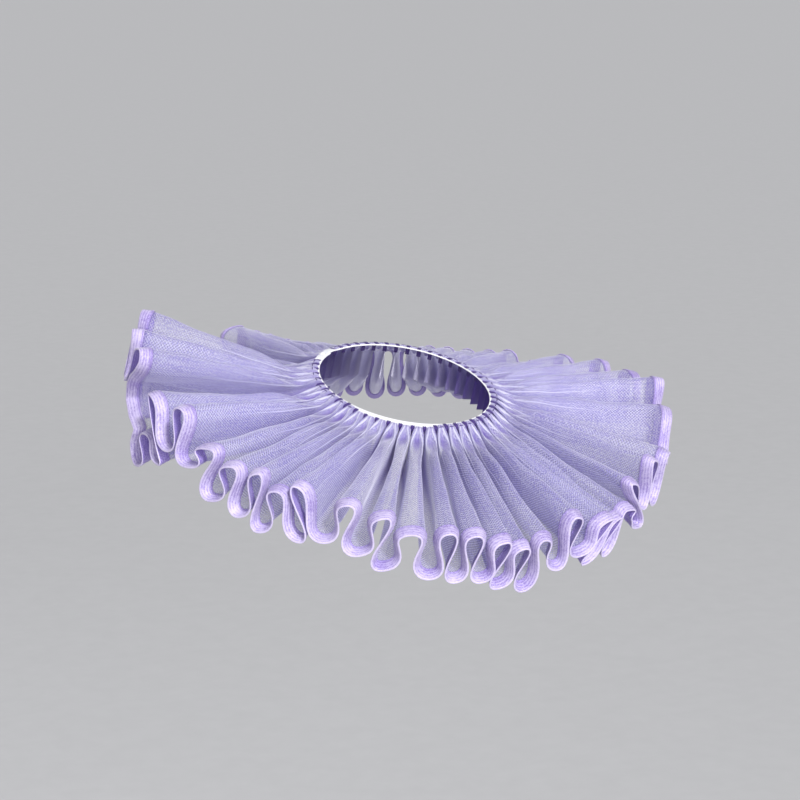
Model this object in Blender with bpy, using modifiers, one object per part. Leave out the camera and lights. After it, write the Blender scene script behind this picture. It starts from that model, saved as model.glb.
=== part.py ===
"""Ruff collar: a long strip of net, pleated onto a narrow neck tape, with ribbon bound over its outer edge.

Metres, +Z up. The wearer looks along -Y, and the origin is the centre of the neck opening, whose plane
leans down towards the front. The collar keeps the hollow form that it has when it is worn.

An azimuth is measured round +Z, from the front (-Y) towards +X. A turn counts the folds along the strip:
a whole number is the crest of a fold, and half way to the next one is the trough between them.
"""
import math
from collections import namedtuple
from random import Random

import bpy
import bmesh
from mathutils import Matrix, Vector

MM = 0.001
COLLECTION_NAME = "ruff_collar"

# The neck opening: the tape's inner edge is a circle in a plane that leans forward.
NECK_RADIUS = 67.6 * MM
NECK_TILT = math.radians(18.5)
NECK_ACROSS = Vector((1, 0, 0))
NECK_BACK = Vector((0, math.cos(NECK_TILT), math.sin(NECK_TILT)))
NECK_UP = Vector((0, -math.sin(NECK_TILT), math.cos(NECK_TILT)))

# The narrow white tape that the pleats are sewn to. Its two ends lap at the opening.
TAPE_WIDTH = 6.0 * MM
TAPE_WALL = 1.0 * MM
TAPE_DROOP = math.radians(10)
TAPE_STEPS = 110
LAP_ANGLE = math.radians(16)
LAP_RAMP = math.radians(12)
SEAM_GAP = 0.3 * MM

# The strip: how far it reaches from the tape to its outer edge, and the ribbon on that edge.
CLOTH_REACH = 144.5 * MM
RIBBON_DEPTH = 10.0 * MM
NET_WALL = 1.0 * MM
RIBBON_WALL = 1.7 * MM
NET_SECTIONS = (0.0, 14.0 * MM, 58.0 * MM, 100.0 * MM, CLOTH_REACH - RIBBON_DEPTH - SEAM_GAP)
RIBBON_SECTIONS = (CLOTH_REACH - RIBBON_DEPTH, CLOTH_REACH)
COLUMNS_PER_FOLD = 10

# The pleats at the neck: evenly spaced, upright, with broad rounded tops and undersides.
OPENING_AZIMUTH = math.radians(-145)
PLEAT_COUNT = 50
PLEAT_PITCH = 2 * math.pi / PLEAT_COUNT
PLEAT_HEIGHT = 28.0 * MM
PLEAT_BULGE = 0.045 * PLEAT_PITCH

# The folds at the outer edge, from the opening round the wearer's right side and front to the left.
# Azimuths are in degrees and heights in millimetres. Loop is how far a fold bellies out, and sway how far its
# falling side swings back and forth, both in degrees.
FOLD_COLUMNS = "crest_azimuth crest_height trough_azimuth trough_height loop sway"
Fold = namedtuple("Fold", FOLD_COLUMNS, defaults=(0.0,))
SHOWN_FOLDS = (
    Fold(-154.0, 2, -150.5, -38, 1.5),
    Fold(-147.0, 2, -143.5, -38, 1.5),
    Fold(-140.0, 12, -136.5, -25, 1.5),
    Fold(-132.0, 57, -127.0, 8, 1.6),
    Fold(-122.0, 47, -119.0, 10, 1.2),
    Fold(-104.5, 42, -105.5, -47, 2.2, 10.5),
    Fold(-99.5, -20, -92.5, -38, 0.8),
    Fold(-97.0, 11, -89.5, -27, 1.4),
    Fold(-85.0, 9, -84.0, -34, 1.9),
    Fold(-76.0, -18, -77.7, -56, 1.7),
    Fold(-71.0, -28, -70.5, -66, 1.5),
    Fold(-64.8, -31, -66.7, -75, 1.4),
    Fold(-61.5, -42, -57.0, -80, 1.2),
    Fold(-57.5, -38, -53.0, -79, 1.2),
    Fold(-47.0, -49, -46.0, -88, 1.6),
    Fold(-39.5, -59, -41.5, -99, 1.5),
    Fold(-34.5, -71, -30.5, -107, 1.5),
    Fold(-27.0, -71, -25.5, -111, 1.6),
    Fold(-21.5, -74, -19.5, -113, 1.6),
    Fold(-14.5, -82, -15.5, -119, 1.5),
    Fold(-9.5, -89, -8.0, -124, 1.2),
    Fold(-5.0, -84, 0.5, -110, 1.0),
    Fold(2.0, -70, 5.5, -103, 1.6),
    Fold(14.0, -79, 9.5, -112, 0.9),
    Fold(18.0, -81, 17.5, -110, 0.7),
    Fold(21.0, -77, 30.5, -95, 1.7, 1.0),
    Fold(22.0, -58, 32.3, -83, 0.9),
    Fold(31.0, -45, 42.0, -86, 1.4),
    Fold(44.0, -47, 53.0, -61, 1.0),
    Fold(65.0, -26, 67.0, -58, 1.4),
    Fold(70.5, -5, 75.0, -48, 1.4),
    Fold(83.5, -7, 88.0, -50, 1.2),
    Fold(93.5, -3, 98.0, -46, 1.2),
    Fold(104.5, -4, 108.0, -47, 1.0),
    Fold(112.5, -13, 115.0, -52, 1.0),
)
SWAY_PLACE, SWAY_LENGTH = 0.46, 0.12
SWAY_RETURN, SWAY_RETURN_PLACE, SWAY_RETURN_LENGTH = 0.42, 0.62, 0.09

# The folds across the back, between the table's last one and the opening, follow a rule with some slack.
BACK_START_AZIMUTH = 119.0
BACK_END_AZIMUTH = 188.0
BACK_LEVEL_HEIGHT = -5.0
BACK_LEVEL_SHARE = 0.62
BACK_END_HEIGHT = 24.0
BACK_FOLD_HEIGHT = 43.0
BACK_LOOP = 1.25
BACK_AZIMUTH_SLACK = 0.7
BACK_HEIGHT_SLACK = 2.0
BACK_SEED = 7
END_AZIMUTH = 192.5
END_LOOP = 3.0

# The press stud that holds the lapped ends of the tape.
STUD_SIDES = 24
STUD_BASE_RADIUS = 2.8 * MM
STUD_TOP_RADIUS = 2.0 * MM
STUD_HEIGHT = 1.5 * MM

NET_COLOUR = (0.50, 0.44, 0.78)
RIBBON_COLOUR = (0.56, 0.45, 0.84)
TAPE_COLOUR = (0.90, 0.90, 0.93)
STUD_COLOUR = (0.85, 0.85, 0.88)


def clear_scene():
    for thing in list(bpy.data.objects):
        bpy.data.objects.remove(thing, do_unlink=True)


def make_material(name, colour, roughness):
    material = bpy.data.materials.new(name)
    material.use_nodes = True
    shader = material.node_tree.nodes["Principled BSDF"]
    shader.inputs["Base Color"].default_value = (*colour, 1)
    shader.inputs["Roughness"].default_value = roughness
    shader.inputs["Metallic"].default_value = 0
    return material


def back_folds():
    """The folds of the back: evenly spread and level, then climbing to a wider last fold at the opening."""
    slack = Random(BACK_SEED)
    count = PLEAT_COUNT - len(SHOWN_FOLDS)
    pitch = (BACK_END_AZIMUTH - BACK_START_AZIMUTH) / (count - 1)
    folds = []
    for place in range(count):
        share = place / (count - 1)
        azimuth = BACK_START_AZIMUTH + pitch * place
        climb = max(share - BACK_LEVEL_SHARE, 0) / (1 - BACK_LEVEL_SHARE)
        height = BACK_LEVEL_HEIGHT + (BACK_END_HEIGHT - BACK_LEVEL_HEIGHT) * climb
        if 0 < place < count - 1:
            azimuth += slack.uniform(-BACK_AZIMUTH_SLACK, BACK_AZIMUTH_SLACK)
            height += slack.uniform(-BACK_HEIGHT_SLACK, BACK_HEIGHT_SLACK)
        trough_azimuth = BACK_START_AZIMUTH + pitch * (place + 0.5)
        folds.append(Fold(azimuth, height, trough_azimuth, height - BACK_FOLD_HEIGHT, BACK_LOOP))
    folds[-1] = folds[-1]._replace(trough_azimuth=END_AZIMUTH, loop=END_LOOP)
    return folds


FOLDS = SHOWN_FOLDS + tuple(back_folds())
LAST_TURN = PLEAT_COUNT - 0.5


def neck_direction(azimuth):
    """Straight out from the centre of the neck opening, in its leaning plane."""
    return NECK_ACROSS * math.sin(azimuth) - NECK_BACK * math.cos(azimuth)


def tape_point(azimuth, across, lift=0.0):
    """A point of the tape, across its width from the inner edge, which droops outwards."""
    out = neck_direction(azimuth)
    radius = NECK_RADIUS + across * math.cos(TAPE_DROOP)
    rise = lift - across * math.sin(TAPE_DROOP)
    return out * radius + NECK_UP * rise


def pleat_point(turn):
    """The inner end of the strip: upright pleats just outside the tape."""
    phase = 2 * math.pi * turn
    azimuth = OPENING_AZIMUTH + PLEAT_PITCH * (turn + 0.5) + PLEAT_BULGE * math.sin(2 * phase)
    drop = PLEAT_HEIGHT * (1 - math.cos(phase)) / 2
    return tape_point(azimuth, TAPE_WIDTH + SEAM_GAP) - NECK_UP * drop


def hump(value, place, length):
    return math.exp(-((value - place) / length) ** 2)


def fold_swing(share):
    """How a swaying fold's falling side swings back and then forward again, from its crest to its trough."""
    forward = SWAY_RETURN * hump(share, SWAY_RETURN_PLACE, SWAY_RETURN_LENGTH)
    return forward - hump(share, SWAY_PLACE, SWAY_LENGTH)


def edge_wave(turn):
    """Azimuth and height of the outer edge: rounded crests and troughs that belly out past each other."""
    index = min(math.floor(turn), len(FOLDS) - 1)
    fold = FOLDS[index]
    share = 2 * (turn - index)
    if share <= 1:
        start_azimuth, start_height = fold.crest_azimuth, fold.crest_height
        stop_azimuth, stop_height = fold.trough_azimuth, fold.trough_height
        swing = fold_swing(share)
    else:
        share -= 1
        following = FOLDS[index + 1]
        start_azimuth, start_height = fold.trough_azimuth, fold.trough_height
        stop_azimuth, stop_height = following.crest_azimuth, following.crest_height
        swing = 0.0
    azimuth = start_azimuth + (stop_azimuth - start_azimuth) * share
    azimuth += fold.loop * math.sin(2 * math.pi * share) + fold.sway * swing
    height = (start_height + stop_height) / 2 + (start_height - stop_height) / 2 * math.cos(math.pi * share)
    return math.radians(azimuth), height * MM


def edge_point(turn):
    """The outer edge's point whose ruling from the pleat is as long as the cloth reaches."""
    root = pleat_point(turn)
    azimuth, height = edge_wave(turn)
    out = Vector((math.sin(azimuth), -math.cos(azimuth), 0))
    along = root.dot(out)
    aside_squared = root.x ** 2 + root.y ** 2 - along ** 2
    level_squared = CLOTH_REACH ** 2 - (height - root.z) ** 2 - aside_squared
    radius = along + math.sqrt(level_squared)
    return out * radius + Vector((0, 0, height))


def cloth_point(turn, distance):
    """A point of the strip, on the straight ruling from its pleat to its outer edge."""
    return pleat_point(turn).lerp(edge_point(turn), distance / CLOTH_REACH)


def add_wall(name, rows, wall, material, collection):
    """A wall of even thickness about the sheet whose points are given row by row."""
    mesh = bpy.data.meshes.new(name)
    sheet = bmesh.new()
    grid = [[sheet.verts.new(point) for point in row] for row in rows]
    for near, far in zip(grid, grid[1:]):
        for here in range(len(near) - 1):
            sheet.faces.new((near[here], near[here + 1], far[here + 1], far[here]))
    bmesh.ops.triangulate(sheet, faces=sheet.faces[:])
    bmesh.ops.recalc_face_normals(sheet, faces=sheet.faces[:])
    sheet.to_mesh(mesh)
    sheet.free()
    mesh.shade_smooth()
    thing = bpy.data.objects.new(name, mesh)
    thing.data.materials.append(material)
    collection.objects.link(thing)
    solidify = thing.modifiers.new("wall", "SOLIDIFY")
    solidify.thickness = wall
    solidify.offset = 0
    return thing


def strip_turns():
    """The places of the strip's columns, twice as close along a fold that sways."""
    turns = []
    for column in range(round(LAST_TURN * COLUMNS_PER_FOLD)):
        turn = column / COLUMNS_PER_FOLD
        turns.append(turn)
        if FOLDS[math.floor(turn)].sway:
            turns.append(turn + 0.5 / COLUMNS_PER_FOLD)
    return turns + [LAST_TURN]


def add_strip(name, sections, wall, material, collection):
    rows = [[cloth_point(turn, distance) for turn in strip_turns()] for distance in sections]
    return add_wall(name, rows, wall, material, collection)


def tape_place(share):
    """Azimuth and lift of the tape along its length: its far end climbs to lap over its near one."""
    length = 2 * math.pi + LAP_ANGLE
    azimuth = OPENING_AZIMUTH - LAP_ANGLE / 2 + length * share
    ramp_start = length - LAP_ANGLE - LAP_RAMP
    climb = min(max((length * share - ramp_start) / LAP_RAMP, 0), 1)
    smooth_climb = climb * climb * (3 - 2 * climb)
    return azimuth, smooth_climb * (TAPE_WALL + SEAM_GAP)


def add_tape(material, collection):
    places = [tape_place(step / TAPE_STEPS) for step in range(TAPE_STEPS + 1)]
    rows = [[tape_point(azimuth, across, lift) for azimuth, lift in places] for across in (0.0, TAPE_WIDTH)]
    return add_wall("neck_tape", rows, TAPE_WALL, material, collection)


def add_press_stud(material, collection):
    """The flat stud on the outside of the lap, with its cone's narrow end up."""
    mesh = bpy.data.meshes.new("press_stud")
    stud = bmesh.new()
    bmesh.ops.create_cone(
        stud, cap_ends=True, segments=STUD_SIDES,
        radius1=STUD_BASE_RADIUS, radius2=STUD_TOP_RADIUS, depth=STUD_HEIGHT)
    bmesh.ops.translate(stud, verts=stud.verts[:], vec=Vector((0, 0, STUD_HEIGHT / 2)))
    stud.to_mesh(mesh)
    stud.free()
    thing = bpy.data.objects.new("press_stud", mesh)
    thing.data.materials.append(material)
    collection.objects.link(thing)

    out = neck_direction(OPENING_AZIMUTH)
    across = out * math.cos(TAPE_DROOP) - NECK_UP * math.sin(TAPE_DROOP)
    up = out * math.sin(TAPE_DROOP) + NECK_UP * math.cos(TAPE_DROOP)
    along = up.cross(across)
    lap_top = tape_point(OPENING_AZIMUTH, TAPE_WIDTH / 2, TAPE_WALL + SEAM_GAP)
    base = lap_top + up * (TAPE_WALL / 2 + SEAM_GAP)
    turned = Matrix((across, along, up)).transposed().to_4x4()
    thing.matrix_world = Matrix.Translation(base) @ turned
    return thing


def main():
    clear_scene()
    collection = bpy.data.collections.new(COLLECTION_NAME)
    bpy.context.scene.collection.children.link(collection)
    net = make_material("net", NET_COLOUR, 0.75)
    ribbon = make_material("ribbon", RIBBON_COLOUR, 0.45)
    tape = make_material("tape", TAPE_COLOUR, 0.55)
    stud = make_material("stud", STUD_COLOUR, 0.35)
    add_strip("net_ruffle", NET_SECTIONS, NET_WALL, net, collection)
    add_strip("edge_ribbon", RIBBON_SECTIONS, RIBBON_WALL, ribbon, collection)
    add_tape(tape, collection)
    add_press_stud(stud, collection)


main()
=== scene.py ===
"""The looks of the ruff collar: its net, ribbon, tape, stitches and fastening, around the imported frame.

Metres, +Z up. The wearer looks along -Y, and the origin is the centre of the neck opening, whose plane
leans down towards the front. An azimuth is measured round +Z, from the front (-Y) towards +X. A turn counts
the folds along the strip: a whole number is the crest of a fold, and half way on is the trough after it.
"""
import math
from collections import namedtuple
from random import Random

import bmesh
import bpy
import numpy as np
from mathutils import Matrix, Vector


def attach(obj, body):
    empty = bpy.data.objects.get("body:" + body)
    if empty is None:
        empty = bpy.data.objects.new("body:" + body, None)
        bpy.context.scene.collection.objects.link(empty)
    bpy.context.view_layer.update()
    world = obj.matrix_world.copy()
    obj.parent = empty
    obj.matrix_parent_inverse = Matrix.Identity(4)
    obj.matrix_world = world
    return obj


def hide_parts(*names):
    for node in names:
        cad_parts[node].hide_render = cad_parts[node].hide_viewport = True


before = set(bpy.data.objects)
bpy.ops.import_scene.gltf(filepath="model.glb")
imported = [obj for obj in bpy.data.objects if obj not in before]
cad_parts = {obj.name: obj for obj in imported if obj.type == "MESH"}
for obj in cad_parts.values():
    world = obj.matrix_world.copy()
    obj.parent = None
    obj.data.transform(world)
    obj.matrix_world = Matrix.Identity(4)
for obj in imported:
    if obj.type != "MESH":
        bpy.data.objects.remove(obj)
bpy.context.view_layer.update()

MM = 0.001
BODY = "root"

# -------- the collar's sizes, as in the frame

NECK_RADIUS = 67.6 * MM
NECK_TILT = math.radians(18.5)
NECK_ACROSS = np.array((1.0, 0.0, 0.0))
NECK_BACK = np.array((0.0, math.cos(NECK_TILT), math.sin(NECK_TILT)))
NECK_UP = np.array((0.0, -math.sin(NECK_TILT), math.cos(NECK_TILT)))

TAPE_WIDTH = 6.0 * MM
TAPE_WALL = 1.0 * MM
TAPE_DROOP = math.radians(10)
LAP_ANGLE = math.radians(16)
LAP_RAMP = math.radians(12)
SEAM_GAP = 0.3 * MM

CLOTH_REACH = 144.5 * MM
RIBBON_DEPTH = 10.0 * MM

OPENING_AZIMUTH = math.radians(-145)
PLEAT_COUNT = 50
PLEAT_PITCH = 2 * math.pi / PLEAT_COUNT
PLEAT_HEIGHT = 28.0 * MM
PLEAT_BULGE = 0.045 * PLEAT_PITCH
LAST_TURN = PLEAT_COUNT - 0.5

# Azimuths are in degrees and heights in millimetres. Loop is how far a fold bellies out, and sway how far its
# falling side swings back and forth, both in degrees.
FOLD_COLUMNS = "crest_azimuth crest_height trough_azimuth trough_height loop sway"
Fold = namedtuple("Fold", FOLD_COLUMNS, defaults=(0.0,))
SHOWN_FOLDS = tuple(Fold(*row) for row in (
    (-154.0, 2, -150.5, -38, 1.5),
    (-147.0, 2, -143.5, -38, 1.5),
    (-140.0, 12, -136.5, -25, 1.5),
    (-132.0, 57, -127.0, 8, 1.6),
    (-122.0, 47, -119.0, 10, 1.2),
    (-104.5, 42, -105.5, -47, 2.2, 10.5),
    (-99.5, -20, -92.5, -38, 0.8),
    (-97.0, 11, -89.5, -27, 1.4),
    (-85.0, 9, -84.0, -34, 1.9),
    (-76.0, -18, -77.7, -56, 1.7),
    (-71.0, -28, -70.5, -66, 1.5),
    (-64.8, -31, -66.7, -75, 1.4),
    (-61.5, -42, -57.0, -80, 1.2),
    (-57.5, -38, -53.0, -79, 1.2),
    (-47.0, -49, -46.0, -88, 1.6),
    (-39.5, -59, -41.5, -99, 1.5),
    (-34.5, -71, -30.5, -107, 1.5),
    (-27.0, -71, -25.5, -111, 1.6),
    (-21.5, -74, -19.5, -113, 1.6),
    (-14.5, -82, -15.5, -119, 1.5),
    (-9.5, -89, -8.0, -124, 1.2),
    (-5.0, -84, 0.5, -110, 1.0),
    (2.0, -70, 5.5, -103, 1.6),
    (14.0, -79, 9.5, -112, 0.9),
    (18.0, -81, 17.5, -110, 0.7),
    (21.0, -77, 30.5, -95, 1.7, 1.0),
    (22.0, -58, 32.3, -83, 0.9),
    (31.0, -45, 42.0, -86, 1.4),
    (44.0, -47, 53.0, -61, 1.0),
    (65.0, -26, 67.0, -58, 1.4),
    (70.5, -5, 75.0, -48, 1.4),
    (83.5, -7, 88.0, -50, 1.2),
    (93.5, -3, 98.0, -46, 1.2),
    (104.5, -4, 108.0, -47, 1.0),
    (112.5, -13, 115.0, -52, 1.0),
))
SWAY_PLACE, SWAY_LENGTH = 0.46, 0.12
SWAY_RETURN, SWAY_RETURN_PLACE, SWAY_RETURN_LENGTH = 0.42, 0.62, 0.09
BACK_START_AZIMUTH = 119.0
BACK_END_AZIMUTH = 188.0
BACK_LEVEL_HEIGHT = -5.0
BACK_LEVEL_SHARE = 0.62
BACK_END_HEIGHT = 24.0
BACK_FOLD_HEIGHT = 43.0
BACK_LOOP = 1.25
BACK_AZIMUTH_SLACK = 0.7
BACK_HEIGHT_SLACK = 2.0
BACK_SEED = 7
END_AZIMUTH = 192.5
END_LOOP = 3.0


def back_folds():
    """The folds of the back: evenly spread and level, then climbing to a wider last fold at the opening."""
    slack = Random(BACK_SEED)
    count = PLEAT_COUNT - len(SHOWN_FOLDS)
    pitch = (BACK_END_AZIMUTH - BACK_START_AZIMUTH) / (count - 1)
    folds = []
    for place in range(count):
        share = place / (count - 1)
        azimuth = BACK_START_AZIMUTH + pitch * place
        climb = max(share - BACK_LEVEL_SHARE, 0) / (1 - BACK_LEVEL_SHARE)
        height = BACK_LEVEL_HEIGHT + (BACK_END_HEIGHT - BACK_LEVEL_HEIGHT) * climb
        if 0 < place < count - 1:
            azimuth += slack.uniform(-BACK_AZIMUTH_SLACK, BACK_AZIMUTH_SLACK)
            height += slack.uniform(-BACK_HEIGHT_SLACK, BACK_HEIGHT_SLACK)
        trough_azimuth = BACK_START_AZIMUTH + pitch * (place + 0.5)
        folds.append(Fold(azimuth, height, trough_azimuth, height - BACK_FOLD_HEIGHT, BACK_LOOP))
    folds[-1] = folds[-1]._replace(trough_azimuth=END_AZIMUTH, loop=END_LOOP)
    return folds


FOLDS = SHOWN_FOLDS + tuple(back_folds())


# -------- the collar's surfaces

def neck_direction(azimuth):
    """Straight out from the centre of the neck opening, in its leaning plane."""
    azimuth = np.asarray(azimuth, float)[..., None]
    return NECK_ACROSS * np.sin(azimuth) - NECK_BACK * np.cos(azimuth)


def tape_point(azimuth, across, lift=0.0):
    """A point of the tape, across its width from the inner edge, which droops outwards."""
    across = np.asarray(across, float)[..., None]
    lift = np.asarray(lift, float)[..., None]
    radius = NECK_RADIUS + across * math.cos(TAPE_DROOP)
    return neck_direction(azimuth) * radius + NECK_UP * (lift - across * math.sin(TAPE_DROOP))


def tape_slope(azimuth):
    """The direction across the tape, outwards and down its droop."""
    return neck_direction(azimuth) * math.cos(TAPE_DROOP) - NECK_UP * math.sin(TAPE_DROOP)


def pleat_azimuth(turn):
    return OPENING_AZIMUTH + PLEAT_PITCH * (turn + 0.5) + PLEAT_BULGE * np.sin(4 * math.pi * turn)


def pleat_point(turn):
    """The inner end of the strip: upright pleats just outside the tape."""
    drop = PLEAT_HEIGHT * (1 - np.cos(2 * math.pi * turn)) / 2
    return tape_point(pleat_azimuth(turn), TAPE_WIDTH + SEAM_GAP + 0 * turn) - NECK_UP * drop[..., None]


def hump(value, place, length):
    return np.exp(-((value - place) / length) ** 2)


def fold_swing(share):
    """How a swaying fold's falling side swings back and then forward again, from its crest to its trough."""
    forward = SWAY_RETURN * hump(share, SWAY_RETURN_PLACE, SWAY_RETURN_LENGTH)
    return forward - hump(share, SWAY_PLACE, SWAY_LENGTH)


def edge_wave(turn):
    """Azimuth and height of the outer edge: rounded crests and troughs that belly out past each other."""
    azimuths = np.array([value for fold in FOLDS for value in (fold.crest_azimuth, fold.trough_azimuth)])
    heights = np.array([value for fold in FOLDS for value in (fold.crest_height, fold.trough_height)], float)
    loops = np.array([fold.loop for fold in FOLDS for _ in range(2)])
    sways = np.array([value for fold in FOLDS for value in (fold.sway, 0.0)])
    half_turn = 2 * turn
    index = np.minimum(np.floor(half_turn).astype(int), len(azimuths) - 2)
    share = half_turn - index
    azimuth = azimuths[index] * (1 - share) + azimuths[index + 1] * share
    azimuth = azimuth + loops[index] * np.sin(2 * math.pi * share) + sways[index] * fold_swing(share)
    middle = (heights[index] + heights[index + 1]) / 2
    half = (heights[index] - heights[index + 1]) / 2
    height = middle + half * np.cos(math.pi * share)
    return np.radians(azimuth), height * MM


def edge_point(turn):
    """The outer edge's point whose ruling from the pleat is as long as the cloth reaches."""
    root = pleat_point(turn)
    azimuth, height = edge_wave(turn)
    out = np.stack((np.sin(azimuth), -np.cos(azimuth), np.zeros_like(azimuth)), -1)
    along = (root * out).sum(-1)
    aside_squared = root[..., 0] ** 2 + root[..., 1] ** 2 - along ** 2
    radius = along + np.sqrt(CLOTH_REACH ** 2 - (height - root[..., 2]) ** 2 - aside_squared)
    point = out * radius[..., None]
    point[..., 2] = height
    return point


def unit(vectors):
    return vectors / np.linalg.norm(vectors, axis=-1, keepdims=True)


def smoothstep(value):
    value = np.clip(value, 0.0, 1.0)
    return value * value * (3 - 2 * value)


def strip_turns(columns_per_fold):
    count = round(LAST_TURN * columns_per_fold)
    return np.linspace(0.0, LAST_TURN, count + 1)


# The bound edge leans towards the cloth's underside: its free edge rolls that way, and its seam bells out the
# other way. Upright stretches lean more than level ones, and each only as far as the folds beside it leave
# room, which is measured to other parts of the edge that lie to that side.
COLUMNS_PER_FOLD = 32
LEAN_LEVEL = 2.0 * MM
LEAN_UPRIGHT = 4.8 * MM
LEAN_ROOM = 3.2 * MM
ROLL_CURVE = 1.3
NEIGHBOUR_TURNS = 0.07
NEIGHBOUR_FACING = 0.5
SMOOTHING_COLUMNS = 5
Rim = namedtuple("Rim", "turns inward under roll bell")


def room_beside(points, side, turns):
    """How far each point of the edge is from the nearest other part of it on one side."""
    room = np.full(len(points), np.inf)
    for place, (point, towards, turn) in enumerate(zip(points, side, turns)):
        away = points - point
        distance = np.linalg.norm(away, axis=-1)
        beyond = (np.abs(turns - turn) > NEIGHBOUR_TURNS) & (away @ towards > NEIGHBOUR_FACING * distance)
        if beyond.any():
            room[place] = distance[beyond].min()
    return np.maximum(room - LEAN_ROOM, 0) / 2


def smooth_along(values):
    """The least of each value and its neighbours, then averaged twice."""
    for summary in (np.min, np.mean, np.mean):
        padded = np.pad(values, SMOOTHING_COLUMNS // 2, mode="edge")
        values = summary(np.lib.stride_tricks.sliding_window_view(padded, SMOOTHING_COLUMNS), axis=-1)
    return values


def lean_of_edge():
    """At each turn, the directions inwards and out of the cloth's underside, and how the edge leans."""
    turns = strip_turns(COLUMNS_PER_FOLD)
    edge = edge_point(turns)
    inward = unit(pleat_point(turns) - edge)
    tangent = unit(np.gradient(edge, axis=0))
    under = unit(np.cross(inward, tangent))
    lean = LEAN_LEVEL + (LEAN_UPRIGHT - LEAN_LEVEL) * np.abs(tangent[:, 2])
    roll = smooth_along(np.minimum(lean, room_beside(edge, under, turns)))
    bell = smooth_along(np.minimum(lean - roll, room_beside(edge, -under, turns)))
    return Rim(turns, inward, under, roll, bell)


RIM = lean_of_edge()


def rim_direction(turn, directions):
    return np.stack([np.interp(turn, RIM.turns, directions[:, axis]) for axis in range(3)], -1)


def rim_shift(turn, inset):
    """How the lean moves a point of the strip that lies inset from its outer edge."""
    roll = np.interp(turn, RIM.turns, RIM.roll)
    bell = np.interp(turn, RIM.turns, RIM.bell)
    share = inset / RIBBON_DEPTH
    under = roll * np.maximum(1 - share, 0) ** ROLL_CURVE - bell * share * np.exp(1 - share)
    shorter = 1 - np.sqrt(1 - ((roll + bell) / RIBBON_DEPTH) ** 2)
    inward = np.maximum(RIBBON_DEPTH - inset, 0) * shorter
    return (rim_direction(turn, RIM.under) * under[..., None]
            + rim_direction(turn, RIM.inward) * inward[..., None])


# The header, where the pleats are sewn to the tape. Each pleat's top is a rounded knuckle that lies over the
# tape and is pinched in at its end. Beyond it the pleat sinks into a pocket between two ridges, which start
# together and spread apart, and swells until it meets the next one. The knuckles reach less far over the tape
# in one bare stretch at the front. Offsets and half widths are turns away from the crest.
OVERLAP = 4.8 * MM
OVERLAP_BARE = 0.9 * MM
BARE_AZIMUTH = math.radians(-41)
BARE_HALF_ANGLE = math.radians(18)
BARE_FADE = math.radians(14)
OVERLAP_FADE = 16.0 * MM
OVERLAP_FLAT, OVERLAP_END = 0.13, 0.21
KNUCKLE_CLOTH = 5.8 * MM
KNUCKLE_FLATNESS = 2.6
KNUCKLE_SWELL = 0.205
KNUCKLE_PINCH = 0.7
PINCH_FLAT, PINCH_END = 0.14, 0.28
KNUCKLE_OPEN = 9.0 * MM
KNUCKLE_LIFT = 0.9 * MM
KNUCKLE_PUFF = 0.9 * MM
LIFT_FLAT, LIFT_END = 0.20, 0.32
LIFT_FADE = 8.0 * MM
ARCH_SWELL = 0.04
ARCH_PLACE = 16.0 * MM
ARCH_LENGTH = 16.0 * MM
POCKET_DEPTH = 5.5 * MM
POCKET_START = 4.0 * MM
POCKET_DEEPEST = 11.0 * MM
POCKET_END = 46.0 * MM
POCKET_NARROW = 0.045
POCKET_WIDE = 0.13
POCKET_SPREAD = 13.0 * MM
HEADER_FADE = 50.0 * MM

# Slow waves of the cloth between the header and the edge: their length along the strip in turns, their length
# across it, their height and their phase.
RIPPLE_END, RIPPLE_FADE = 0.7, 0.22
Ripple = namedtuple("Ripple", "turns reach depth phase")
RIPPLES = (
    Ripple(3.7, 96.0 * MM, 0.55 * MM, 0.4),
    Ripple(1.63, 61.0 * MM, 0.40 * MM, 1.9),
    Ripple(0.83, 43.0 * MM, 0.22 * MM, 4.1),
    Ripple(0.37, 310.0 * MM, 0.38 * MM, 2.2),
    Ripple(0.23, -190.0 * MM, 0.24 * MM, 0.9),
)


def cloth_point(turn, distance):
    """A point of the strip, on the straight ruling from its pleat to its outer edge."""
    share = (distance / CLOTH_REACH)[..., None]
    return pleat_point(turn) * (1 - share) + edge_point(turn) * share


def window(offset, flat, end):
    """1 across the middle of a pleat's top and 0 beyond its shoulders."""
    return 1 - smoothstep((np.abs(offset) - flat) / (end - flat))


def tape_overlap(azimuth):
    """How far the knuckles reach in over the tape, which they leave bare in one stretch at the front."""
    away = np.abs((azimuth - BARE_AZIMUTH + math.pi) % (2 * math.pi) - math.pi)
    return OVERLAP_BARE + (OVERLAP - OVERLAP_BARE) * smoothstep((away - BARE_HALF_ANGLE) / BARE_FADE)


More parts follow.
